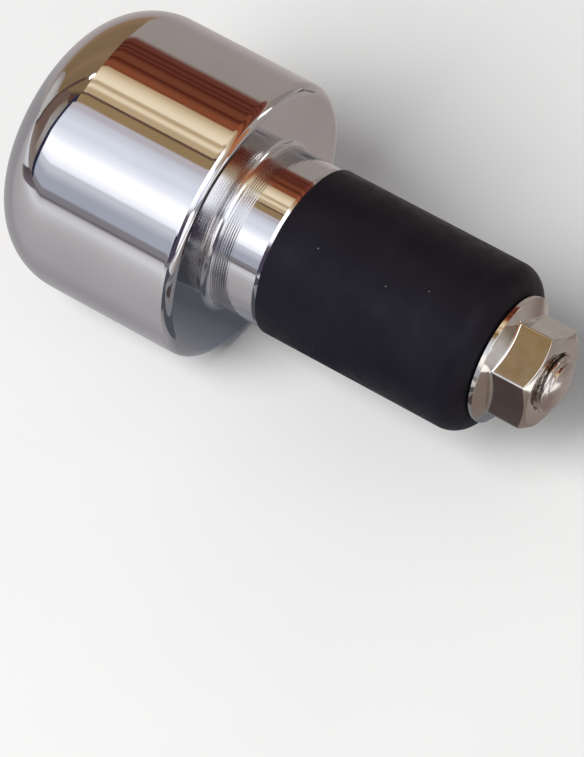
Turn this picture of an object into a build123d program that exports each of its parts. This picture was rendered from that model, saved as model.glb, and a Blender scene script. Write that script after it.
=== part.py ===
from build123d import *
import math
import os

# Bar end weight: a chromed weight that closes the end of a hollow handlebar.
# A socket screw runs through the weight and a rubber sleeve into a flange nut.
# Tightening it draws the nut in, so the sleeve swells and grips the bar's bore.
# Frame: millimetres, X along the turned axis and into the bar, Z up.
# The origin is the centre of the shoulder that meets the end of the bar.

# Bar that the weight plugs
BAR_BORE_DIA = 19.0
NECK_CLEARANCE = 0.5
SLEEVE_CLEARANCE = 0.25

# Turned weight
WEIGHT_DIA = 31.0
WEIGHT_LENGTH = 24.0
DOME_RADIUS = 7.5
BACK_RIM_RADIUS = 1.2
NECK_LENGTH = 6.3
NECK_ROOT_CHAMFER = 0.4
NECK_LEAD_LENGTH = 0.5
NECK_LEAD_DEPTH = 0.25
HEAD_RECESS = 0.4
COUNTERBORE_CLEARANCE = 0.8
COUNTERBORE_CHAMFER = 0.25
WEIGHT_BORE_CLEARANCE = 0.3

# Rubber expander sleeve
SLEEVE_LENGTH = 24.0
SLEEVE_END_RADIUS = 2.7
SLEEVE_EDGE_CHAMFER = 0.3
SLEEVE_BORE_CLEARANCE = 0.5

# Socket cap screw, M6 sizes
SCREW_DIA = 6.0
HEAD_DIA = 10.0
HEAD_HEIGHT = 6.0
HEAD_EDGE_CHAMFER = 0.5
KEY_FLATS = 5.0
KEY_DEPTH = 3.0
KEY_MOUTH_CHAMFER = 0.25
KEY_DRILL_ANGLE = 120.0
TIP_PROUD = 1.5
TIP_TAPER_LENGTH = 0.9
TIP_TAPER_DEPTH = 0.6

# Flange nut, M6 sizes
NUT_FLATS = 10.0
NUT_HEIGHT = 5.6
NUT_TURN = -6.0
NUT_BORE_CLEARANCE = 0.05
NUT_MOUTH_CHAMFER = 0.3
NUT_CHAMFER_ANGLE = 30.0
FLANGE_DIA = 14.0
FLANGE_RIM = 0.7
FLANGE_CHAMFER = 0.2
FLANGE_CONE_ANGLE = 25.0

# Radii that follow from the sizes above
weight_r = WEIGHT_DIA / 2
screw_r = SCREW_DIA / 2
head_r = HEAD_DIA / 2
flange_r = FLANGE_DIA / 2
neck_r = BAR_BORE_DIA / 2 - NECK_CLEARANCE
sleeve_r = BAR_BORE_DIA / 2 - SLEEVE_CLEARANCE
counterbore_r = head_r + COUNTERBORE_CLEARANCE
weight_bore_r = screw_r + WEIGHT_BORE_CLEARANCE
sleeve_bore_r = screw_r + SLEEVE_BORE_CLEARANCE
nut_bore_r = screw_r + NUT_BORE_CLEARANCE

# Places along the axis, from the domed face to the screw's tip
dome_face_x = -WEIGHT_LENGTH
head_top_x = dome_face_x + HEAD_RECESS
head_seat_x = head_top_x + HEAD_HEIGHT
sleeve_start_x = NECK_LENGTH
sleeve_end_x = sleeve_start_x + SLEEVE_LENGTH
nut_end_x = sleeve_end_x + NUT_HEIGHT
tip_x = nut_end_x + TIP_PROUD


def turned(*edges):
    """Turn a closed half section, drawn as x along the axis and y as radius."""
    section = make_face(Curve() + list(edges))
    return revolve(section, Axis.X)


def run(*points):
    """Straight stretches of a half section, from point to point."""
    return Polyline(*points)


def round_edge(start, end, heading):
    """Arc of a half section that leaves its start point along the heading."""
    return TangentArc(start, end, tangent=heading)


def hexagon_bar(flats, start_x, end_x, turn=0.0):
    """Six-sided bar along X with a corner at the top, turned about X by an angle."""
    across = Plane((start_x, 0, 0), x_dir=(0, 0, 1), z_dir=(1, 0, 0)).rotated((0, 0, turn))
    outline = across * RegularPolygon(flats / 2, 6, major_radius=False)
    return extrude(outline, amount=end_x - start_x)


def weight():
    """One turned piece: domed weight with its counterbore, and the neck behind it."""
    mouth = COUNTERBORE_CHAMFER
    dome_start_x = dome_face_x + DOME_RADIUS
    dome_flat_r = weight_r - DOME_RADIUS
    rim_start_x = -BACK_RIM_RADIUS
    rim_flat_r = weight_r - BACK_RIM_RADIUS
    neck_end_x = NECK_LENGTH
    return turned(
        run(
            (head_seat_x, weight_bore_r),
            (head_seat_x, counterbore_r),
            (dome_face_x + mouth, counterbore_r),
            (dome_face_x, counterbore_r + mouth),
            (dome_face_x, dome_flat_r),
        ),
        round_edge((dome_face_x, dome_flat_r), (dome_start_x, weight_r), (0, 1)),
        run((dome_start_x, weight_r), (rim_start_x, weight_r)),
        round_edge((rim_start_x, weight_r), (0, rim_flat_r), (1, 0)),
        run(
            (0, rim_flat_r),
            (0, neck_r + NECK_ROOT_CHAMFER),
            (NECK_ROOT_CHAMFER, neck_r),
            (neck_end_x - NECK_LEAD_LENGTH, neck_r),
            (neck_end_x, neck_r - NECK_LEAD_DEPTH),
            (neck_end_x, weight_bore_r),
            (head_seat_x, weight_bore_r),
        ),
    )


def expander_sleeve():
    """Moulded rubber tube with a well rounded far end, seated on the neck's end face."""
    edge = SLEEVE_EDGE_CHAMFER
    round_start_x = sleeve_end_x - SLEEVE_END_RADIUS
    return turned(
        run(
            (sleeve_start_x, sleeve_bore_r),
            (sleeve_start_x, sleeve_r - edge),
            (sleeve_start_x + edge, sleeve_r),
            (round_start_x, sleeve_r),
        ),
        round_edge((round_start_x, sleeve_r), (sleeve_end_x, sleeve_r - SLEEVE_END_RADIUS), (1, 0)),
        run(
            (sleeve_end_x, sleeve_r - SLEEVE_END_RADIUS),
            (sleeve_end_x, sleeve_bore_r),
            (sleeve_start_x, sleeve_bore_r),
        ),
    )


def key_socket():
    """Hex recess for the key: flats, a countersunk mouth and a drilled bottom."""
    corner_r = KEY_FLATS / 2 / math.cos(math.pi / 6)
    floor_x = head_top_x + KEY_DEPTH
    drill_r = KEY_FLATS / 2
    drill_depth = drill_r / math.tan(math.radians(KEY_DRILL_ANGLE / 2))
    mouth_r = corner_r + KEY_MOUTH_CHAMFER
    flats = hexagon_bar(KEY_FLATS, head_top_x, floor_x)
    mouth = turned(
        run((head_top_x, 0), (head_top_x, mouth_r), (head_top_x + mouth_r, 0), (head_top_x, 0)),
    )
    drill = turned(
        run((floor_x, 0), (floor_x, drill_r), (floor_x + drill_depth, 0), (floor_x, 0)),
    )
    return flats + mouth + drill


def socket_screw():
    """Cap screw: round head with a key socket, shank, and a tapered tip."""
    edge = HEAD_EDGE_CHAMFER
    taper_x = tip_x - TIP_TAPER_LENGTH
    tip_r = screw_r - TIP_TAPER_DEPTH
    blank = turned(
        run(
            (tip_x, 0),
            (head_top_x, 0),
            (head_top_x, head_r - edge),
            (head_top_x + edge, head_r),
            (head_seat_x, head_r),
            (head_seat_x, screw_r),
            (taper_x, screw_r),
            (tip_x, tip_r),
            (tip_x, 0),
        ),
    )
    return blank - key_socket()


def flange_nut():
    """Hex nut on a conical flange, with a chamfered end and a countersunk bore."""
    corner_r = NUT_FLATS / 2 / math.cos(math.pi / 6)
    cone_rise = math.tan(math.radians(FLANGE_CONE_ANGLE))
    chamfer_rise = math.tan(math.radians(NUT_CHAMFER_ANGLE))
    flange_top_x = sleeve_end_x + FLANGE_RIM
    cone_tip_x = flange_top_x + flange_r * cone_rise
    chamfer_r = NUT_FLATS / 2
    chamfer_x = nut_end_x - (corner_r - chamfer_r) * chamfer_rise
    edge = FLANGE_CHAMFER
    mouth_r = nut_bore_r + NUT_MOUTH_CHAMFER
    flange = turned(
        run(
            (sleeve_end_x, 0),
            (sleeve_end_x, flange_r - edge),
            (sleeve_end_x + edge, flange_r),
            (flange_top_x, flange_r),
            (cone_tip_x, 0),
            (sleeve_end_x, 0),
        ),
    )
    envelope = turned(
        run(
            (sleeve_end_x, 0),
            (sleeve_end_x, corner_r),
            (chamfer_x, corner_r),
            (nut_end_x, chamfer_r),
            (nut_end_x, 0),
            (sleeve_end_x, 0),
        ),
    )
    hexagon = hexagon_bar(NUT_FLATS, sleeve_end_x, nut_end_x, NUT_TURN) & envelope
    bore = turned(
        run(
            (sleeve_end_x, 0),
            (sleeve_end_x, mouth_r),
            (sleeve_end_x + NUT_MOUTH_CHAMFER, nut_bore_r),
            (nut_end_x - NUT_MOUTH_CHAMFER, nut_bore_r),
            (nut_end_x, mouth_r),
            (nut_end_x, 0),
            (sleeve_end_x, 0),
        ),
    )
    return flange + hexagon - bore


PIECES = {
    "weight": weight,
    "expander_sleeve": expander_sleeve,
    "socket_screw": socket_screw,
    "flange_nut": flange_nut,
}

os.makedirs("parts", exist_ok=True)
for name, make in PIECES.items():
    piece = make()
    piece.label = name
    export_step(piece, f"parts/{name}.step")
    print(name, round(piece.volume, 1), "mm3")
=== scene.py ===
import math

import bpy
from mathutils import Matrix, Vector


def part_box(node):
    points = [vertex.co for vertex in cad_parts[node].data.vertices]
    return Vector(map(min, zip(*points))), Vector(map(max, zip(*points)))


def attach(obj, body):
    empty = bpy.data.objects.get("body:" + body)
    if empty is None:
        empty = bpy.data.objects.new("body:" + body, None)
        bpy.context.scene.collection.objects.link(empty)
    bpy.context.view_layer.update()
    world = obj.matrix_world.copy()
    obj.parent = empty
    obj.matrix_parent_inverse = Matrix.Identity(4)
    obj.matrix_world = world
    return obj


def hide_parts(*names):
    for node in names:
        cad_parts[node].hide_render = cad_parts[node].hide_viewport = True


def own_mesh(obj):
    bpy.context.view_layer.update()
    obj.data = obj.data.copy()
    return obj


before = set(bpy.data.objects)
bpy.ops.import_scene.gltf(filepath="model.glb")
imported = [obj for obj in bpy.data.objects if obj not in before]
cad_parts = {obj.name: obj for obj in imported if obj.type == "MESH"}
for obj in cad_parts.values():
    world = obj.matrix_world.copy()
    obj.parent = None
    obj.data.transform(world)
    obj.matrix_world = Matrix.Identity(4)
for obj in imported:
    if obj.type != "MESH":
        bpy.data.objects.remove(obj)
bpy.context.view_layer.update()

# Weight
# One length of steel bar, turned to a dome at its outer end and to a plug neck at the other.
# It is polished and chrome plated all over, and the neck keeps the fine rings of the turning tool.
MM = 0.001
NECK_R = 9.0 * MM
NECK_ROOT_ROUND = 0.9 * MM
NECK_LEAD_LENGTH = 0.5 * MM
NECK_LEAD_DEPTH = 0.25 * MM
BACK_RIM_ROUND = 1.2 * MM
DOME_ROUND = 7.5 * MM
COUNTERBORE_R = 5.8 * MM
COUNTERBORE_CHAMFER = 0.25 * MM
HEAD_HEIGHT = 6.0 * MM
WEIGHT_BORE_R = 3.3 * MM
BROKEN_EDGE = 0.06 * MM
ROUND_SAG = 0.001 * MM
ROUND_STEPS_LEAST = 4
TURNED_SIDES = 224
MARK_STEP = 0.025 * MM
MARK_PITCH = 0.27 * MM
MARK_DEPTH = 0.0016 * MM
MARK_FALL_SHARE = 0.75
ROOT_MARK_DEPTH = 0.045 * MM
ROOT_MARK_REACH = 2.5 * MM
SHARP_DEGREES = 40
GRAIN_RANGE = (0.3, 0.7)
SOFT_DETAIL = 3.0
FINE_DETAIL = 4.0
CHROME = (0.55, 0.54, 0.545, 1.0)
CHROME_HAZE = (0.51, 0.5, 0.505, 1.0)
CHROME_HAZE_SIZE = 9 * MM
CHROME_SMEAR_SIZE = 3 * MM
CHROME_ROUGHNESS = (0.03, 0.07)
TURNED_ROUGHNESS = 0.16
ROUGHNESS_RISES = (-0.3 * MM, 0.9 * MM)
ROUGHNESS_FALLS = (1.2 * MM, 3.2 * MM)

weight_low, weight_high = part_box("weight")
weight_r = max(weight_high.y, weight_high.z)
dome_face_x = weight_low.x
neck_end_x = weight_high.x
shoulder_x = 0.0
head_top_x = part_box("socket_screw")[0].x
head_seat_x = head_top_x + HEAD_HEIGHT


def rounded_section(corners, closed=True, steps=None):
    """Points along a half section of a turned piece, with its corners rounded.

    A corner is (x, radius, rounding), and the corners run anticlockwise.
    """
    points = []
    for number, (x, radius, rounding) in enumerate(corners):
        corner = Vector((x, radius))
        if not closed and number in (0, len(corners) - 1):
            points.append(corner)
            continue
        before = Vector(corners[number - 1][:2])
        after = Vector(corners[(number + 1) % len(corners)][:2])
        arrives = (corner - before).normalized()
        leaves = (after - corner).normalized()
        turn = math.atan2(arrives.cross(leaves), arrives.dot(leaves))
        inward = math.copysign(rounding, turn) * Vector((-arrives.y, arrives.x))
        centre = corner - arrives * rounding * math.tan(abs(turn) / 2) + inward
        chord = 2 * math.acos(1 - ROUND_SAG / rounding)
        pieces = steps or max(ROUND_STEPS_LEAST, math.ceil(abs(turn) / chord))
        for piece in range(pieces + 1):
            points.append(centre - Matrix.Rotation(turn * piece / pieces, 2) @ inward)
    return points


def with_tool_marks(section):
    """The same section with fine rings left by the tool along the neck, deeper beside the shoulder.

    Each ring deepens over most of its pitch, and then comes back steeply.
    """
    marked = []
    for start, end in zip(section, section[1:] + section[:1]):
        marked.append(start)
        on_neck = max(abs(start.y - NECK_R), abs(end.y - NECK_R)) < ROUND_SAG
        if not on_neck:
            continue
        steps = round((end - start).length / MARK_STEP)
        for step in range(1, steps):
            x = start.x + (end.x - start.x) * step / steps
            beside_root = max(0.0, 1 - (x - shoulder_x) / ROOT_MARK_REACH)
            deepest = MARK_DEPTH + ROOT_MARK_DEPTH * beside_root
            phase = x / MARK_PITCH % 1
            depth = deepest * min(phase / MARK_FALL_SHARE, (1 - phase) / (1 - MARK_FALL_SHARE))
            marked.append(Vector((x, NECK_R - depth)))
    return marked


def skin(name, rings, angles, bored=True):
    """Mesh through rings of (x, radius) pairs, each with one pair for every angle about X.

    On a bored piece the last ring joins the first. On any other a face closes each end.
    """
    columns = len(angles)
    vertices = []
    for ring in rings:
        for (x, radius), angle in zip(ring, angles):
            vertices.append((x, radius * math.cos(angle), radius * math.sin(angle)))
    faces = []
    spans = len(rings) if bored else len(rings) - 1
    for ring in range(spans):
        here = ring * columns
        there = (ring + 1) % len(rings) * columns
        for column in range(columns):
            across = (column + 1) % columns
            faces.append((here + column, there + column, there + across, here + across))
    if not bored:
        first = range(columns)
        last = range((len(rings) - 1) * columns, len(rings) * columns)
        faces.append(tuple(first))
        faces.append(tuple(reversed(last)))
    mesh = bpy.data.meshes.new(name)
    mesh.from_pydata(vertices, [], faces)
    return mesh


def round_the_bar(sides):
    """Evenly spaced angles about the X axis."""
    return [2 * math.pi * side / sides for side in range(sides)]


def turned(name, section):
    """Mesh of a turned piece: its half section spun round the X axis."""
    rings = [[point] * TURNED_SIDES for point in section]
    return skin(name, rings, round_the_bar(TURNED_SIDES))


def put_in_scene(name, data):
    """A new object in the scene, made of a mesh, a lamp or a lens."""
    thing = bpy.data.objects.new(name, data)
    bpy.context.scene.collection.objects.link(thing)
    return thing


def fit(name, mesh, finish, node, body):
    """Put a finished piece in the scene in place of its solid, on the body that carries it."""
    piece = put_in_scene(name, mesh)
    mesh.materials.append(finish)
    mesh.shade_smooth()
    mesh.set_sharp_from_angle(angle=math.radians(SHARP_DEGREES))
    shading = piece.modifiers.new("even_shading", "WEIGHTED_NORMAL")
    shading.keep_sharp = True
    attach(piece, body)
    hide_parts(node)
    return piece


def new_finish(name):
    """An empty surface finish: its node tree, its shader and its coordinates on the piece."""
    finish = bpy.data.materials.new(name)
    finish.use_nodes = True
    tree = finish.node_tree
    shader = tree.nodes["Principled BSDF"]
    place = tree.nodes.new("ShaderNodeTexCoord").outputs["Object"]
    return finish, tree, shader, place


def feed(tree, socket, value):
    """Set a socket to a plain value, or link it to the socket that gives its value."""
    if isinstance(value, bpy.types.NodeSocket):
        tree.links.new(value, socket)
    else:
        socket.default_value = value


def combined(tree, operation, first, second):
    """Two values put together by a math operation."""
    both = tree.nodes.new("ShaderNodeMath")
    both.operation = operation
    for socket, value in zip(both.inputs, (first, second)):
        feed(tree, socket, value)
    return both.outputs["Value"]


def grain(tree, place, size, detail):
    """Soft random grain of about the given size, as a value from 0 to 1."""
    noise = tree.nodes.new("ShaderNodeTexNoise")
    noise.inputs["Scale"].default_value = 1 / size
    noise.inputs["Detail"].default_value = detail
    tree.links.new(place, noise.inputs["Vector"])
    return noise.outputs["Fac"]


def between(tree, value, low, high, from_low, from_high):
    """A value taken from its own range to another one."""
    spread = tree.nodes.new("ShaderNodeMapRange")
    spread.inputs["From Min"].default_value = from_low
    spread.inputs["From Max"].default_value = from_high
    spread.inputs["To Min"].default_value = low
    spread.inputs["To Max"].default_value = high
    tree.links.new(value, spread.inputs["Value"])
    return spread.outputs["Result"]


def uneven(tree, place, size, detail, low=0.0, high=1.0):
    """A value that wanders from low to high, in patches of about the given size."""
    return between(tree, grain(tree, place, size, detail), low, high, *GRAIN_RANGE)


def two_tone(tree, value, first, second):
    """Colour that goes from the first to the second, each a colour or a socket, as the value goes to 1."""
    mix = tree.nodes.new("ShaderNodeMix")
    mix.data_type = "RGBA"
    sockets = [socket for socket in mix.inputs if socket.type == "RGBA"]
    for socket, colour in zip(sockets, (first, second)):
        feed(tree, socket, colour)
    tree.links.new(value, mix.inputs["Factor"])
    return next(socket for socket in mix.outputs if socket.type == "RGBA")


def make_metal(tree, shader, colour, roughness):
    """Turn a finish into bare metal with this colour and roughness, each a socket."""
    tree.links.new(colour, shader.inputs["Base Color"])
    tree.links.new(roughness, shader.inputs["Roughness"])
    shader.inputs["Metallic"].default_value = 1.0


def as_turned(tree, place):
    """Extra roughness of the neck beside the shoulder, which is turned but hardly polished.

    It sets in on the shoulder, which has only a little of it.
    """
    along = tree.nodes.new("ShaderNodeSeparateXYZ")
    tree.links.new(place, along.inputs["Vector"])
    rising = between(tree, along.outputs["X"], 0.0, 1.0, *ROUGHNESS_RISES)
    falling = between(tree, along.outputs["X"], TURNED_ROUGHNESS, 0.0, *ROUGHNESS_FALLS)
    return combined(tree, "MULTIPLY", rising, falling)


def chrome_plate():
    """Mirror chrome with a faint haze and a few smears left by polishing and hands."""
    finish, tree, shader, place = new_finish("chrome_plate")
    haze = uneven(tree, place, CHROME_HAZE_SIZE, SOFT_DETAIL)
    smears = uneven(tree, place, CHROME_SMEAR_SIZE, FINE_DETAIL, *CHROME_ROUGHNESS)
    roughness = combined(tree, "ADD", smears, as_turned(tree, place))
    make_metal(tree, shader, two_tone(tree, haze, CHROME, CHROME_HAZE), roughness)
    return finish


weight_section = rounded_section([
    (head_seat_x, WEIGHT_BORE_R, BROKEN_EDGE),
    (neck_end_x, WEIGHT_BORE_R, BROKEN_EDGE),
    (neck_end_x, NECK_R - NECK_LEAD_DEPTH, BROKEN_EDGE),
    (neck_end_x - NECK_LEAD_LENGTH, NECK_R, BROKEN_EDGE),
    (shoulder_x, NECK_R, NECK_ROOT_ROUND),
    (shoulder_x, weight_r, BACK_RIM_ROUND),
    (dome_face_x, weight_r, DOME_ROUND),
    (dome_face_x, COUNTERBORE_R + COUNTERBORE_CHAMFER, BROKEN_EDGE),
    (dome_face_x + COUNTERBORE_CHAMFER, COUNTERBORE_R, BROKEN_EDGE),
    (head_seat_x, COUNTERBORE_R, BROKEN_EDGE),
])
weight_mesh = turned("turned_weight", with_tool_marks(weight_section))
fit("turned_weight", weight_mesh, chrome_plate(), "weight", "weight")

# Expander sleeve
# A plain tube of black moulded rubber with a well rounded far end, slid over the screw against the neck.
# The nut presses it endways, so it shortens and swells in the bar. It is matt, with some dust on it.
SLEEVE_BORE_R = 3.5 * MM
SLEEVE_END_ROUND = 2.7 * MM
SLEEVE_EDGE_ROUND = 0.25 * MM
SLEEVE_MOUTH_ROUND = 0.2 * MM
RUBBER = (0.0062, 0.005, 0.0085, 1.0)
RUBBER_WORN = (0.009, 0.008, 0.0125, 1.0)
RUBBER_WEAR_SIZE = 5 * MM
RUBBER_SHEEN_SIZE = 1.5 * MM
RUBBER_SHEEN_DETAIL = 2.0
RUBBER_ROUGHNESS = (0.42, 0.56)
RUBBER_SPECULAR = 0.11
RUBBER_GRAIN_SIZE = 0.3 * MM
RUBBER_GRAIN_HEIGHT = 0.006 * MM
DUST = (0.16, 0.15, 0.13, 1.0)
DUST_SPACING = 2.2 * MM
DUST_REACH = 0.035
DUST_THRESHOLD = 0.55

sleeve_low, sleeve_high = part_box("expander_sleeve")
sleeve_r = max(sleeve_high.y, sleeve_high.z)


def dust_specks(tree, place):
    """Sparse tiny specks, as 1 on a speck and 0 elsewhere."""
    cells = tree.nodes.new("ShaderNodeTexVoronoi")
    cells.inputs["Scale"].default_value = 1 / DUST_SPACING
    tree.links.new(place, cells.inputs["Vector"])
    near = combined(tree, "LESS_THAN", cells.outputs["Distance"], DUST_REACH)
    chosen = combined(tree, "GREATER_THAN", cells.outputs["Color"], DUST_THRESHOLD)
    return combined(tree, "MULTIPLY", near, chosen)


def add_bump(tree, shader, height, depth):
    """Raise the surface by a height value times a depth."""
    bump = tree.nodes.new("ShaderNodeBump")
    bump.inputs["Distance"].default_value = depth
    tree.links.new(height, bump.inputs["Height"])
    tree.links.new(bump.outputs["Normal"], shader.inputs["Normal"])


def moulded_rubber():
    """Matt black rubber: slightly uneven in tone, a fine moulded grain, and specks of dust."""
    finish, tree, shader, place = new_finish("moulded_rubber")
    wear = uneven(tree, place, RUBBER_WEAR_SIZE, FINE_DETAIL)
    rubber = two_tone(tree, wear, RUBBER, RUBBER_WORN)
    dusty = two_tone(tree, dust_specks(tree, place), rubber, DUST)
    sheen = uneven(tree, place, RUBBER_SHEEN_SIZE, RUBBER_SHEEN_DETAIL, *RUBBER_ROUGHNESS)
    tree.links.new(dusty, shader.inputs["Base Color"])
    tree.links.new(sheen, shader.inputs["Roughness"])
    shader.inputs["Specular IOR Level"].default_value = RUBBER_SPECULAR
    add_bump(tree, shader, grain(tree, place, RUBBER_GRAIN_SIZE, SOFT_DETAIL), RUBBER_GRAIN_HEIGHT)
    return finish


sleeve_section = rounded_section([
    (sleeve_low.x, SLEEVE_BORE_R, SLEEVE_MOUTH_ROUND),
    (sleeve_high.x, SLEEVE_BORE_R, SLEEVE_MOUTH_ROUND),
    (sleeve_high.x, sleeve_r, SLEEVE_END_ROUND),
    (sleeve_low.x, sleeve_r, SLEEVE_EDGE_ROUND),
])
sleeve = fit(
    "rubber_sleeve",
    turned("rubber_sleeve", sleeve_section),
    moulded_rubber(),
    "expander_sleeve",
    "weight",
)
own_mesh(sleeve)

# Flange nut
# A steel M6 hex nut forged in one with a conical flange, bright plated.
# It bears on the sleeve's far end, and the rubber's grip keeps it from turning with the screw.
NUT_FLATS = 10.0 * MM
NUT_TURN = math.radians(84)
NUT_CORNER_ROUND = 0.24 * MM
NUT_EDGE_ROUND = 0.11 * MM
NUT_CHAMFER_R = 4.8 * MM
NUT_CHAMFER_RISE = math.tan(math.radians(30))
NUT_BORE_R = 3.05 * MM
NUT_MOUTH_CHAMFER = 0.3 * MM
NUT_WALL_ROUND = 0.4 * MM
NUT_ROUND_STEPS = 5
FLANGE_RIM = 0.7 * MM
FLANGE_CHAMFER = 0.2 * MM
FLANGE_CONE_RISE = math.tan(math.radians(25))
FLANGE_EDGE_ROUND = 0.08 * MM
CORNER_COLUMNS = 6
FLAT_COLUMNS = 18
HEX_CORNERS = 6
SIXTH = 2 * math.pi / HEX_CORNERS
PLATED_STEEL = (0.54, 0.51, 0.46, 1.0)
PLATED_STEEL_DULL = (0.45, 0.425, 0.385, 1.0)
PLATING_BLOOM_SIZE = 2.5 * MM
PLATING_GLOSS_SIZE = 0.8 * MM
PLATING_ROUGHNESS = (0.06, 0.13)

nut_low, nut_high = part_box("flange_nut")
flange_r = max(nut_high.y, nut_high.z)
flange_top_x = nut_low.x + FLANGE_RIM
nut_corner_centre = (NUT_FLATS / 2 - NUT_CORNER_ROUND) / math.cos(SIXTH / 2)
nut_corner_reach = math.atan2(
    NUT_CORNER_ROUND * math.sin(SIXTH / 2),
    nut_corner_centre + NUT_CORNER_ROUND * math.cos(SIXTH / 2),
)


def nut_radius(away):
    """Radius of the nut's hexagon, its corners rounded, at an angle away from one of the corners."""
    if abs(away) <= nut_corner_reach:
        sideways = nut_corner_centre * math.sin(away)
        return nut_corner_centre * math.cos(away) + math.sqrt(NUT_CORNER_ROUND**2 - sideways**2)
    return NUT_FLATS / 2 / math.cos(SIXTH / 2 - abs(away))


def nut_columns():
    """Angles round the nut, close together at its corners: (angle, angle from a corner)."""
    columns = []
    for corner in range(HEX_CORNERS):
        middle = NUT_TURN + corner * SIXTH
        for step in range(CORNER_COLUMNS):
            away = nut_corner_reach * (2 * step / CORNER_COLUMNS - 1)
            columns.append((middle + away, away))
        for step in range(FLAT_COLUMNS):
            along = nut_corner_reach + (SIXTH - 2 * nut_corner_reach) * step / FLAT_COLUMNS
            away = along if along <= SIXTH / 2 else along - SIXTH
            columns.append((middle + along, away))
    return columns


def nut_section(away):
    """Closed half section of the nut at an angle away from one of its corners."""
    hexagon_r = nut_radius(away)
    chamfer_x = nut_high.x - (hexagon_r - NUT_CHAMFER_R) * NUT_CHAMFER_RISE
    wall_foot_x = flange_top_x + (flange_r - hexagon_r) * FLANGE_CONE_RISE
    mouth_r = NUT_BORE_R + NUT_MOUTH_CHAMFER
    corners = [
        (nut_low.x + NUT_MOUTH_CHAMFER, NUT_BORE_R, BROKEN_EDGE),
        (nut_high.x - NUT_MOUTH_CHAMFER, NUT_BORE_R, BROKEN_EDGE),
        (nut_high.x, mouth_r, BROKEN_EDGE),
        (nut_high.x, NUT_CHAMFER_R, NUT_EDGE_ROUND),
        (chamfer_x, hexagon_r, NUT_EDGE_ROUND),
        (wall_foot_x, hexagon_r, NUT_WALL_ROUND),
        (flange_top_x, flange_r, FLANGE_EDGE_ROUND),
        (nut_low.x + FLANGE_CHAMFER, flange_r, FLANGE_EDGE_ROUND),
        (nut_low.x, flange_r - FLANGE_CHAMFER, FLANGE_EDGE_ROUND),
        (nut_low.x, mouth_r, BROKEN_EDGE),
    ]
    return rounded_section(corners, steps=NUT_ROUND_STEPS)


def bright_plating():
    """Bright plated steel: nearly a mirror, with a grey bloom and uneven gloss."""
    finish, tree, shader, place = new_finish("bright_plating")
    bloom = uneven(tree, place, PLATING_BLOOM_SIZE, FINE_DETAIL)
    gloss = uneven(tree, place, PLATING_GLOSS_SIZE, FINE_DETAIL, *PLATING_ROUGHNESS)
    make_metal(tree, shader, two_tone(tree, bloom, PLATED_STEEL, PLATED_STEEL_DULL), gloss)
    return finish


round_the_nut = nut_columns()
nut_sections = [nut_section(away) for angle, away in round_the_nut]
nut_rings = list(zip(*nut_sections))
nut_mesh = skin("hex_flange_nut", nut_rings, [angle for angle, away in round_the_nut])
fit("hex_flange_nut", nut_mesh, bright_plating(), "flange_nut", "nut")

# Socket screw
# A stainless M6 cap screw with a rolled thread, turned by a hex key in its sunk head.
# It runs through the weight and the sleeve, and its rounded tip stands proud of the nut.
SCREW_R = 3.0 * MM
HEAD_R = 5.0 * MM
HEAD_EDGE_ROUND = 0.5 * MM
HEAD_FOOT_ROUND = 0.15 * MM
SHANK_ROOT_ROUND = 0.25 * MM
KEY_FLATS = 5.0 * MM
KEY_DEPTH = 3.0 * MM
KEY_MOUTH_CHAMFER = 0.25 * MM
KEY_TURN = math.pi / 2
DRILL_R = 2.42 * MM
DRILL_SLOPE = math.tan(math.radians(60))
THREAD_LENGTH = 24.0 * MM
THREAD_PITCH = 1.0 * MM
THREAD_DEPTH = 0.54 * MM
THREAD_STEPS = 16
CREST_SHARE = 0.125
ROOT_SHARE = 0.25
TIP_LENGTH = 1.1 * MM
TIP_STEPS = 24
POLE_R = 0.02 * MM
SCREW_COLUMNS = 96
SCREW_ROUND_STEPS = 6
STAINLESS = (0.56, 0.52, 0.48, 1.0)
STAINLESS_DULL = (0.46, 0.42, 0.38, 1.0)
STAINLESS_TONE_SIZE = 1.5 * MM
STAINLESS_MARK_SIZE = 0.5 * MM
STAINLESS_ROUGHNESS = (0.14, 0.26)

screw_tip_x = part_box("socket_screw")[1].x
key_corner_r = KEY_FLATS / 2 / math.cos(SIXTH / 2)


def thread_radius(x, angle):
    """Radius of the rolled thread, with its crests and roots a little rounded."""
    turns = x / THREAD_PITCH - angle / (2 * math.pi)
    rise = abs(2 * (turns % 1) - 1)
    share = (rise - ROOT_SHARE) / (1 - ROOT_SHARE - CREST_SHARE)
    share = min(max(share, 0.0), 1.0)
    eased = share * share * (3 - 2 * share)
    return SCREW_R - THREAD_DEPTH * (1 - eased)


def screw_tip_section(angle):
    """Half section from the middle of the tip, over its rounded edge and along the whole thread."""
    points = [(screw_tip_x, POLE_R)]
    for step in range(1, TIP_STEPS + 1):
        turn = math.pi / 2 * step / TIP_STEPS
        x = screw_tip_x - TIP_LENGTH * (1 - math.cos(turn))
        radius = SCREW_R * math.sin(turn)
        points.append((x, min(radius, thread_radius(x, angle))))
    rows = round(THREAD_LENGTH / THREAD_PITCH * THREAD_STEPS)
    for row in range(1, rows + 1):
        x = screw_tip_x - TIP_LENGTH - (THREAD_LENGTH - TIP_LENGTH) * row / rows
        points.append((x, thread_radius(x, angle)))
    return points


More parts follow.
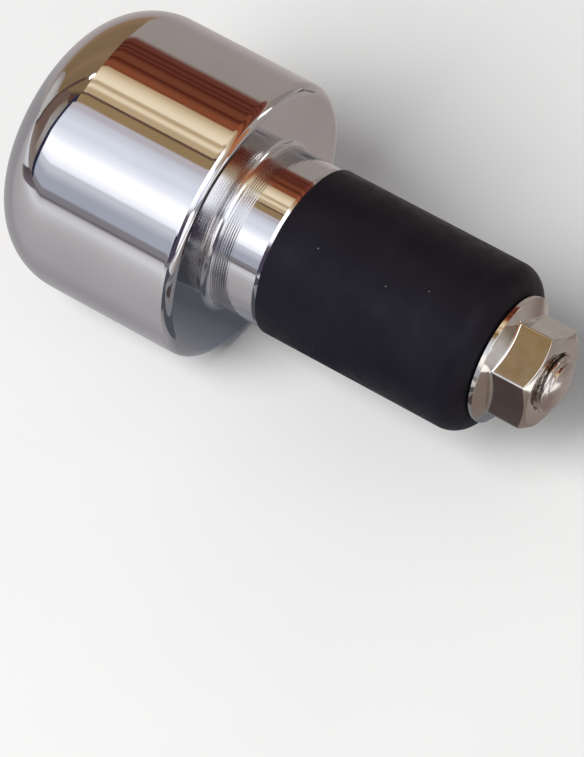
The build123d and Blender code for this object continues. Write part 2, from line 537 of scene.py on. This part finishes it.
def screw_head_section(angle):
    """Half section from the plain shank round the head and down into the key socket."""
    away = (angle - KEY_TURN + SIXTH / 2) % SIXTH - SIXTH / 2
    key_r = KEY_FLATS / 2 / math.cos(SIXTH / 2 - abs(away))
    mouth_r = key_corner_r + KEY_MOUTH_CHAMFER
    floor_x = head_top_x + KEY_DEPTH
    corners = [
        (screw_tip_x - THREAD_LENGTH - THREAD_PITCH, SCREW_R, 0.0),
        (head_seat_x, SCREW_R, SHANK_ROOT_ROUND),
        (head_seat_x, HEAD_R, HEAD_FOOT_ROUND),
        (head_top_x, HEAD_R, HEAD_EDGE_ROUND),
        (head_top_x, mouth_r, BROKEN_EDGE),
        (head_top_x + mouth_r - key_r, key_r, BROKEN_EDGE),
        (floor_x, key_r, BROKEN_EDGE),
        (floor_x, DRILL_R, BROKEN_EDGE),
        (floor_x + DRILL_R / DRILL_SLOPE, POLE_R, 0.0),
    ]
    return rounded_section(corners, closed=False, steps=SCREW_ROUND_STEPS)


def dulled_stainless():
    """Plain stainless steel, warm grey and lightly dulled, with handling marks."""
    finish, tree, shader, place = new_finish("dulled_stainless")
    tone = uneven(tree, place, STAINLESS_TONE_SIZE, FINE_DETAIL)
    marks = uneven(tree, place, STAINLESS_MARK_SIZE, FINE_DETAIL, *STAINLESS_ROUGHNESS)
    make_metal(tree, shader, two_tone(tree, tone, STAINLESS, STAINLESS_DULL), marks)
    return finish


screw_angles = round_the_bar(SCREW_COLUMNS)
screw_sections = [screw_tip_section(angle) + screw_head_section(angle) for angle in screw_angles]
screw_rings = list(zip(*screw_sections))
screw_mesh = skin("cap_screw", screw_rings, screw_angles, bored=False)
fit("cap_screw", screw_mesh, dulled_stainless(), "socket_screw", "screw")

# Floor
# A plain pale tabletop that the weight lies on.
FLOOR_HALF_WIDTH = 2.0
FLOOR_PALE = (0.84, 0.835, 0.83, 1.0)
FLOOR_PALER = (0.87, 0.865, 0.86, 1.0)
FLOOR_TONE_SIZE = 40 * MM
FLOOR_ROUGHNESS = 0.9
FLOOR_SPECULAR = 0.1


def stage_piece(name, mesh, finish):
    """Put a piece of the studio in the scene, apart from the object."""
    piece = put_in_scene(name, mesh)
    mesh.materials.append(finish)
    return piece


def level_square(name, half_width, height):
    """Mesh of one flat level square round the Z axis."""
    corners = [(-1, -1), (1, -1), (1, 1), (-1, 1)]
    mesh = bpy.data.meshes.new(name)
    mesh.from_pydata([(x * half_width, y * half_width, height) for x, y in corners], [], [(0, 1, 2, 3)])
    return mesh


def pale_tabletop():
    """Matt pale board with a hardly visible unevenness."""
    finish, tree, shader, place = new_finish("pale_tabletop")
    tone = uneven(tree, place, FLOOR_TONE_SIZE, SOFT_DETAIL)
    tree.links.new(two_tone(tree, tone, FLOOR_PALE, FLOOR_PALER), shader.inputs["Base Color"])
    shader.inputs["Roughness"].default_value = FLOOR_ROUGHNESS
    shader.inputs["Specular IOR Level"].default_value = FLOOR_SPECULAR
    return finish


stage_piece("tabletop", level_square("tabletop", FLOOR_HALF_WIDTH, -weight_r), pale_tabletop())

# Reflector cards, painting reflections and shade
# A grey tent round the table, with cards of wood, cream and white in it, glows for the bright metal to
# mirror: painted reflections from cards that are no lamps and light nothing.
# More cards lie on the tabletop and paint shade, shadow and a few glints into it as the metal sees it. Only
# mirror reflections see any card.
MIDDLE = 1.0
IN_FRONT = 0.97
BEHIND = 1.03
BEYOND = 1.06
FAR_BEHIND = 1.09
TENT_RADIUS = 1.3
CARD_COLUMNS = 48
CARD_STEP = 3
TABLE_STEP = 500
TABLE_REACH = 2000
ON_TABLE = 0.04
ON_CARD = 0.08
ON_RING = 0.1
ON_SHADE = 0.12
TENT_PALE = (0.8, 0.8, 0.77, 1.0)
TENT_GREY = (0.52, 0.46, 0.42, 1.0)
TENT_LIGHT = (0.74, 0.7, 0.65, 1.0)
WALL = (0.35, 0.235, 0.13, 1.0)
WALL_WARM = (0.42, 0.27, 0.16, 1.0)
WALL_SHADE = (0.16, 0.09, 0.07, 1.0)
LOW_WALL = (0.25, 0.17, 0.135, 1.0)
LOW_WALL_FOOT = (0.42, 0.36, 0.32, 1.0)
WALL_EDGE = (0.6, 0.58, 0.55, 1.0)
WOOD = (0.22, 0.068, 0.044, 1.0)
WOOD_WARM = (0.27, 0.083, 0.04, 1.0)
WOOD_GOLD = (0.4, 0.115, 0.05, 1.0)
WOOD_ORANGE = (0.7, 0.27, 0.11, 1.0)
WOOD_SHADE = (0.13, 0.024, 0.014, 1.0)
CREAM = (1.15, 0.93, 0.62, 1.0)
CREAM_LIGHT = (1.36, 1.17, 0.85, 1.0)
CREAM_DEEP = (0.79, 0.6, 0.36, 1.0)
TAN = (0.48, 0.33, 0.165, 1.0)
PANE_TOP = (0.83, 0.78, 0.85, 1.0)
PANE_HIGH = (1.0, 1.03, 1.15, 1.0)
PANE_UPPER = (1.2, 1.29, 1.45, 1.0)
PANE_PALE = (1.55, 1.62, 1.78, 1.0)
PANE_BRIGHT = (2.0, 2.0, 2.05, 1.0)
PANE_WHITE = (3.0, 3.1, 3.3, 1.0)
PANE_LOW = (0.65, 0.69, 0.82, 1.0)
SILL = (0.38, 0.37, 0.4, 1.0)
SILL_DARK = (0.25, 0.22, 0.25, 1.0)
FRAME_DARK = (0.04, 0.04, 0.09, 1.0)
CORNER_DARK = (0.14, 0.12, 0.13, 1.0)
END_DARK = (0.12, 0.1, 0.16, 1.0)
END_PALE = (0.6, 0.5, 0.68, 1.0)
PAINTED_GLINT = (4.5, 4.5, 4.3, 1.0)
TABLE_NEAR = (1.1, 1.11, 1.14, 1.0)
TABLE_MIDDLE = (0.86, 0.85, 0.87, 1.0)
TABLE_CLOSE = (0.74, 0.72, 0.74, 1.0)
TABLE_UNDER_SHADE = (0.62, 0.59, 0.61, 1.0)
TABLE_CONTACT_SHADE = (0.47, 0.46, 0.48, 1.0)
TABLE_BEYOND = (0.58, 0.53, 0.52, 1.0)
TABLE_FAR = (0.5, 0.437, 0.422, 1.0)
SHADE_PALE = (0.35, 0.355, 0.38, 1.0)
SHADE_WARM = (0.12, 0.09, 0.09, 1.0)
SHADE_COOL = (0.2, 0.215, 0.25, 1.0)
SHADE_DEEP = (0.12, 0.13, 0.155, 1.0)
NUT_SHADE = (0.34, 0.27, 0.25, 1.0)


def painted_reflection_glow():
    """Glow in the tone that each corner of a card holds: painted reflection or painted shade, seen only in
    mirrors.
    """
    finish = bpy.data.materials.new("painted_reflection_glow")
    finish.use_nodes = True
    finish.cycles.emission_sampling = "NONE"
    tree = finish.node_tree
    tree.nodes.remove(tree.nodes["Principled BSDF"])
    emission = tree.nodes.new("ShaderNodeEmission")
    tone = tree.nodes.new("ShaderNodeAttribute")
    tone.attribute_name = "tone"
    tree.links.new(tone.outputs["Color"], emission.inputs["Color"])
    tree.links.new(emission.outputs["Emission"], tree.nodes["Material Output"].inputs["Surface"])
    return finish


def in_room(rise, tilt, distance):
    """Place in the room, at a rise from the far side of the table up and over to the near side.

    The tilt is toward the nut's end. Both are in degrees.
    """
    up = math.radians(rise)
    along = math.radians(tilt)
    level = math.cos(along) * distance
    return (math.sin(along) * distance, level * math.cos(up), level * math.sin(up))


def round_room(tilt, rise, distance):
    """The same place, for a card with bands that change with the tilt."""
    return in_room(rise, tilt, distance)


def on_table(y, x, lift):
    """Place just over the tabletop. All are in millimetres."""
    return (x * MM, y * MM, lift * MM - weight_r)


def edge_at(edge, along):
    """Where an edge is, at a place along a card, from the (along, across) points that it runs through."""
    for (start, first), (end, second) in zip(edge, edge[1:]):
        if along <= end:
            return first + (second - first) * (along - start) / (end - start)
    return edge[-1][1]


def rows_between(stops, step):
    """Rows of a card: its stops, each an (along, tone), and blends of them no further apart than a step."""
    rows = []
    for (start, first), (end, second) in zip(stops, stops[1:]):
        pieces = math.ceil((end - start) / step)
        for piece in range(pieces):
            share = piece / pieces
            rows.append((start + (end - start) * share, Vector(first).lerp(Vector(second), share)))
    last, tone = stops[-1]
    rows.append((last, Vector(tone)))
    return rows


def card(name, stops, left, right, reach=MIDDLE, place=in_room, step=CARD_STEP, sides=(1.0, 1.0)):
    """A glowing card between two edges, with bands of painted tone along it, that only mirror reflections
    see.

    Its stops and edges are degrees in the room, or millimetres on the table, and its reach is the
    distance that the place takes. The sides are how bright it is at its left edge and at its right one.
    """
    vertices = []
    tones = []
    faces = []
    rows = rows_between(stops, step)
    for along, tone in rows:
        start = edge_at(left, along)
        end = edge_at(right, along)
        for column in range(CARD_COLUMNS + 1):
            share = column / CARD_COLUMNS
            vertices.append(place(along, start + (end - start) * share, reach))
            tones.append(tone * (sides[0] + (sides[1] - sides[0]) * share))
    wide = CARD_COLUMNS + 1
    for row in range(len(rows) - 1):
        for column in range(CARD_COLUMNS):
            corner = row * wide + column
            faces.append((corner, corner + 1, corner + wide + 1, corner + wide))
    mesh = bpy.data.meshes.new(name)
    mesh.from_pydata(vertices, [], faces)
    layer = mesh.color_attributes.new("tone", "FLOAT_COLOR", "POINT")
    for corner, tone in zip(layer.data, tones):
        corner.color = tone
    piece = stage_piece(name, mesh, glow)
    piece.visible_camera = False
    piece.visible_diffuse = False
    piece.visible_shadow = False


def table_card(name, stops, left, right, lift=ON_CARD, sides=(1.0, 1.0)):
    """A card on the tabletop, with bands from its near side to its far side."""
    card(name, stops, left, right, lift, on_table, TABLE_STEP, sides)


glow = painted_reflection_glow()
card(
    "tent",
    [(-90, TENT_PALE), (-79, TENT_PALE), (-74, TENT_GREY), (35, TENT_GREY), (90, TENT_LIGHT)],
    left=[(-90, 0)],
    right=[(-90, 360)],
    reach=TENT_RADIUS,
    place=round_room,
)
card(
    "wall",
    [
        (-1, WALL_WARM), (10, WALL), (42, WALL), (56, WALL_WARM), (74, WALL), (95, WALL),
        (99, WALL_SHADE), (108, WALL_SHADE),
    ],
    left=[(-1, -73), (88, -73), (92, -57), (97, -50), (108, -46)],
    right=[(-1, -31)],
    reach=BEHIND,
)
card(
    "low_wall",
    [(86, LOW_WALL), (145, LOW_WALL), (182, LOW_WALL_FOOT)],
    left=[(86, -62), (90, -68), (100, -75), (115, -80), (182, -83)],
    right=[(86, -44)],
    reach=FAR_BEHIND,
)
card(
    "wall_edge",
    [(104, WALL), (112, LOW_WALL_FOOT), (130, WALL_EDGE), (145, WALL_EDGE), (165, LOW_WALL_FOOT)],
    left=[(104, -48), (112, -57), (125, -62), (165, -62)],
    right=[(104, -40)],
    reach=BEYOND,
)
card(
    "cord",
    [(81.5, WALL_SHADE), (182, CORNER_DARK)],
    left=[(81.5, -44), (85, -55), (88, -63), (91, -72), (97, -76), (105, -79.5), (115, -82), (182, -85)],
    right=[(81.5, -39), (85, -41), (88, -49), (91, -58), (97, -69.5), (105, -74), (115, -77.5), (182, -82)],
)
card(
    "wood",
    [
        (31, TENT_GREY), (35.5, WOOD), (38.5, WOOD), (41, WOOD_SHADE), (43.8, WOOD), (46.2, WOOD_SHADE),
        (48, WOOD), (50, WOOD_SHADE), (53.5, WOOD_WARM), (57.5, WOOD_WARM), (59.8, WOOD_SHADE),
        (62.5, WOOD_WARM), (64.5, WOOD_GOLD), (67.5, WOOD_GOLD), (68.8, WOOD_WARM), (70, WOOD_ORANGE),
    ],
    left=[(31, -32)],
    right=[(31, 36), (70, 52)],
    sides=(0.95, 1.5),
)
card(
    "cream",
    [
        (69.4, CREAM_DEEP), (71, CREAM_DEEP), (75.5, CREAM), (80, CREAM_LIGHT), (83.2, CREAM_LIGHT),
        (84.2, CREAM_DEEP), (86.4, CREAM_DEEP), (87.4, CREAM), (89.4, CREAM_LIGHT), (92, CREAM_DEEP),
        (96, CREAM_DEEP),
    ],
    left=[(69, -32)],
    right=[(69, 12)],
    sides=(1.12, 0.85),
)
card(
    "tan",
    [(96, WALL_SHADE), (97.4, WALL_SHADE), (98.4, TAN), (105, TAN), (106.2, PANE_TOP)],
    left=[(96, -34)],
    right=[(96, 12)],
    sides=(1.1, 0.85),
)
card(
    "pane",
    [
        (106, PANE_TOP), (110, PANE_TOP), (113, PANE_HIGH), (121, PANE_UPPER), (127, PANE_UPPER),
        (135, PANE_PALE), (140, PANE_BRIGHT), (148, PANE_BRIGHT), (155.5, PANE_PALE), (157.3, PANE_HIGH),
        (160, PANE_HIGH), (167, PANE_LOW), (175.5, PANE_LOW), (177, SILL), (182, SILL),
    ],
    left=[(106, -37.5), (115, -41.5), (125, -45), (135, -47.5), (157, -48.5), (171, -48), (182, -44)],
    right=[(106, 12), (157, 12), (160, -2), (182, -2)],
)
card(
    "pane_frame",
    [(99, FRAME_DARK), (182, FRAME_DARK)],
    left=[(99, -37), (107, -43), (125, -49.5), (135, -52.5), (157, -54), (171, -54), (182, -50)],
    right=[(99, -2)],
    reach=BEHIND,
)
card(
    "side_cream",
    [(69, WOOD_ORANGE), (78, CREAM_DEEP), (83, CREAM), (97, CREAM_LIGHT)],
    left=[(69, 12)],
    right=[(69, 48)],
)
card(
    "side_pane",
    [
        (97, PANE_PALE), (106, PANE_BRIGHT), (116, PANE_BRIGHT), (122, PANE_PALE), (136, PANE_PALE),
        (143, SILL_DARK), (152, END_DARK), (182, END_DARK),
    ],
    left=[(97, 12), (157, 12), (160, 14), (182, 14)],
    right=[(97, 57)],
)
card(
    "side_white",
    [(84, CREAM), (90, PANE_WHITE), (128, PANE_WHITE), (136, PANE_PALE)],
    left=[(84, 13)],
    right=[(84, 36)],
    reach=IN_FRONT,
)
card(
    "side_frame",
    [(158, FRAME_DARK), (164, FRAME_DARK), (172, END_DARK), (182, END_DARK)],
    left=[(158, -2)],
    right=[(158, 14)],
)
card(
    "far_dark",
    [(-1, SHADE_PALE), (12, LOW_WALL_FOOT), (31, LOW_WALL_FOOT)],
    left=[(-1, 13)],
    right=[(-1, 44)],
)
# Painted glint: a small bright card, no lamp, that puts a white spot on the weight's back rim and on the
# nut's flange.
card(
    "painted_glint_far",
    [(-1, PAINTED_GLINT), (24, PAINTED_GLINT)],
    left=[(-1, 44)],
    right=[(-1, 49.5)],
    reach=IN_FRONT,
)
card(
    "orange_end",
    [(8, WOOD_ORANGE), (69, WOOD_ORANGE)],
    left=[(8, 60), (40, 52), (69, 48)],
    right=[(8, 72)],
)
card(
    "end_pane",
    [(-1, PANE_BRIGHT), (38, PANE_BRIGHT)],
    left=[(-1, 73)],
    right=[(-1, 86)],
)
card(
    "end_wall",
    [(70, TAN), (92, PANE_PALE), (125, PANE_PALE), (160, END_DARK), (182, END_DARK)],
    left=[(70, 62)],
    right=[(70, 88)],
)
card(
    "end_frame",
    [(97, END_PALE), (122, END_PALE), (150, END_DARK), (182, END_DARK)],
    left=[(97, 57)],
    right=[(97, 62)],
)
# Painted glints: a small bright card, no lamp, for a small white spot on the weight near its dome, and a
# wide one for the highlight on the screw's rounded tip.
card(
    "painted_glint_over",
    [(77.5, PAINTED_GLINT), (84, PAINTED_GLINT)],
    left=[(77.5, -34), (79, -36.5), (82.5, -37.5), (84, -36)],
    right=[(77.5, -33), (79, -31.5), (82.5, -32.5), (84, -35)],
    reach=IN_FRONT,
)
card(
    "painted_glint_by_end",
    [(142, PANE_BRIGHT), (182, PANE_BRIGHT)],
    left=[(142, 44)],
    right=[(142, 62), (155, 76)],
    reach=IN_FRONT,
)
# Painted shade: the tabletop as the metal mirrors it, darkening toward the weight's contact and under it,
# darker behind it than in front, with a dark band far off on the near side.
table_card(
    "table_card",
    [
        (-TABLE_REACH, SILL), (-700, SILL), (-420, SILL_DARK), (-330, SILL_DARK), (-225, TABLE_MIDDLE),
        (-130, TABLE_NEAR), (-108, TABLE_NEAR), (-72, TABLE_MIDDLE), (-50, TABLE_CLOSE), (-24, TABLE_UNDER_SHADE),
        (-17, TABLE_CONTACT_SHADE), (17, TABLE_CONTACT_SHADE), (32, TABLE_BEYOND), (43, TABLE_BEYOND), (115, TABLE_FAR),
        (TABLE_REACH, TABLE_FAR),
    ],
    left=[(-TABLE_REACH, -TABLE_REACH)],
    right=[(-TABLE_REACH, TABLE_REACH)],
    lift=ON_TABLE,
)
# Painted shade: a dark patch on the table on the near side beyond the dome, for the metal to mirror.
table_card(
    "corner_shade",
    [(-520, CORNER_DARK), (-68, CORNER_DARK), (-50, LOW_WALL_FOOT)],
    left=[(-520, -720), (-267, -390), (-107, -200), (-50, -125)],
    right=[(-520, -300), (-330, -150), (-224, -125), (-107, -118), (-50, -105)],
    sides=(0.8, 1.9),
)
table_card(
    "wall_foot",
    [(120, TABLE_FAR), (200, WALL_WARM), (TABLE_REACH, WALL)],
    left=[(120, -TABLE_REACH)],
    right=[(120, -72), (TABLE_REACH, -1200)],
)
# Painted shade and shadow on the table under and round the sleeve, where the shoulder and neck mirror it;
# ring_shade lightens it where the back rim mirrors it, flat_shade darkens what one flat of the nut mirrors,
# and far_shade lays a dark patch behind the neck.
table_card(
    "sleeve_shade",
    [
        (-260, SHADE_PALE), (-152, SHADE_DEEP), (-8, SHADE_DEEP), (3, SHADE_DEEP), (14, SHADE_COOL),
        (22, TABLE_FAR), (31, TABLE_FAR), (45, TABLE_BEYOND),
    ],
    left=[(-260, 44), (-56, 9), (-20, 5), (-12, -2), (45, -2)],
    right=[(-260, 115), (-60, 36), (45, 36)],
)
table_card(
    "ring_shade",
    [(-60, TABLE_CONTACT_SHADE), (-20, SHADE_PALE), (-6, SHADE_PALE), (2, SHADE_COOL)],
    left=[(-60, 24), (-30, 13), (2, 12)],
    right=[(-60, 36)],
    lift=ON_RING,
)
table_card(
    "flat_shade",
    [(-40, SHADE_WARM), (-18, SHADE_WARM)],
    left=[(-40, 21)],
    right=[(-40, 30)],
    lift=ON_SHADE,
)
table_card(
    "far_shade",
    [
        (44, TABLE_BEYOND), (48, SHADE_COOL), (70, SHADE_COOL), (90, SHADE_DEEP), (112, SHADE_COOL),
        (126, TABLE_FAR), (150, TABLE_MIDDLE), (170, TABLE_MIDDLE),
    ],
    left=[(44, 14), (60, 16), (72, 24), (90, 32), (170, 42)],
    right=[(44, 19), (66, 24), (90, 46), (170, 82)],
    lift=ON_SHADE,
)
# Painted highlight: a bright patch beyond the nut's end for the glint on the screw's tip, with a lighter
# table beside it; tip_glint adds to it.
table_card(
    "end_glint",
    [(-75, PANE_BRIGHT), (-23, PANE_BRIGHT), (-20, TABLE_MIDDLE), (5, TABLE_MIDDLE), (25, TABLE_BEYOND)],
    left=[(-75, 84)],
    right=[(-75, 150)],
)
table_card(
    "tip_glint",
    [(-20, PANE_BRIGHT), (12, PANE_BRIGHT)],
    left=[(-20, 92), (-6, 85), (-2, 54), (12, 54)],
    right=[(-20, 118)],
    lift=ON_SHADE,
)
# Painted shade beside the neck, and under and round the nut, as the metal mirrors the table there.
table_card(
    "neck_shade",
    [
        (-32, SHADE_PALE), (-25, TABLE_CONTACT_SHADE), (-17, TABLE_CONTACT_SHADE), (-12, SHADE_PALE), (-8, SHADE_PALE),
        (-5, SHADE_COOL), (-2, SHADE_DEEP),
    ],
    left=[(-32, 2), (-12, -2)],
    right=[(-32, 9), (-23, 6.8), (-12, 5.5), (-8, 6.5), (-6, 10), (-2, 13)],
    lift=ON_SHADE,
    sides=(1.1, 0.85),
)
table_card(
    "nut_shade",
    [
        (-60, TABLE_CLOSE), (-30, TABLE_FAR), (-8, NUT_SHADE), (1, NUT_SHADE), (12, TABLE_FAR),
        (30, NUT_SHADE), (45, TABLE_FAR),
    ],
    left=[(-60, 36)],
    right=[(-60, 84)],
)

# Light
# One large soft lamp on the near side, and an even glow from all round.
KEY_PLACE = Vector((-0.15, -0.55, 0.6))
KEY_WIDTH = 0.5
KEY_WATTS = 7.6
WHITE = (1.0, 1.0, 1.0, 1.0)
AMBIENT_STRENGTH = 0.32
BACKGROUND_STRENGTH = 1.0

key_lamp = bpy.data.lights.new("key_lamp", "AREA")
key_lamp.size = KEY_WIDTH
key_lamp.energy = KEY_WATTS
key = put_in_scene("key_lamp", key_lamp)
key.location = KEY_PLACE
key.rotation_mode = "QUATERNION"
key.rotation_quaternion = (-KEY_PLACE).to_track_quat("-Z", "Y")
key.visible_glossy = False

world = bpy.data.worlds.new("white_room")
world.use_nodes = True
room = world.node_tree
path = room.nodes.new("ShaderNodeLightPath")
seen = path.outputs["Is Camera Ray"]
for ray in ("Is Glossy Ray", "Is Transmission Ray"):
    seen = combined(room, "MAXIMUM", seen, path.outputs[ray])
strength = between(room, seen, AMBIENT_STRENGTH, BACKGROUND_STRENGTH, 0.0, 1.0)
background = room.nodes["Background"]
background.inputs["Color"].default_value = WHITE
room.links.new(strength, background.inputs["Strength"])
bpy.context.scene.world = world

# Camera
# A long lens looking down on the piece from the nut's side, as in the photograph.
VIEW_TARGET = Vector((10.1, -8.0, -9.7)) * MM
VIEW_DISTANCE = 508.4 * MM
VIEW_AZIMUTH = math.radians(34.67)
VIEW_ELEVATION = math.radians(51.81)
FOCAL_PIXELS = 5000
IMAGE_LONG_SIDE_PIXELS = 757
SENSOR_LONG_SIDE = 36.0
NEAREST_SEEN = 50 * MM

toward_camera = Vector((
    math.sin(VIEW_AZIMUTH) * math.cos(VIEW_ELEVATION),
    -math.cos(VIEW_AZIMUTH) * math.cos(VIEW_ELEVATION),
    math.sin(VIEW_ELEVATION),
))
lens = bpy.data.cameras.new("camera")
lens.sensor_width = SENSOR_LONG_SIDE
lens.lens = FOCAL_PIXELS * SENSOR_LONG_SIDE / IMAGE_LONG_SIDE_PIXELS
lens.clip_start = NEAREST_SEEN
camera = put_in_scene("camera", lens)
camera.location = VIEW_TARGET + toward_camera * VIEW_DISTANCE
camera.rotation_mode = "QUATERNION"
camera.rotation_quaternion = (-toward_camera).to_track_quat("-Z", "Y")
bpy.context.scene.camera = camera
bpy.context.scene.view_settings.view_transform = "Standard"
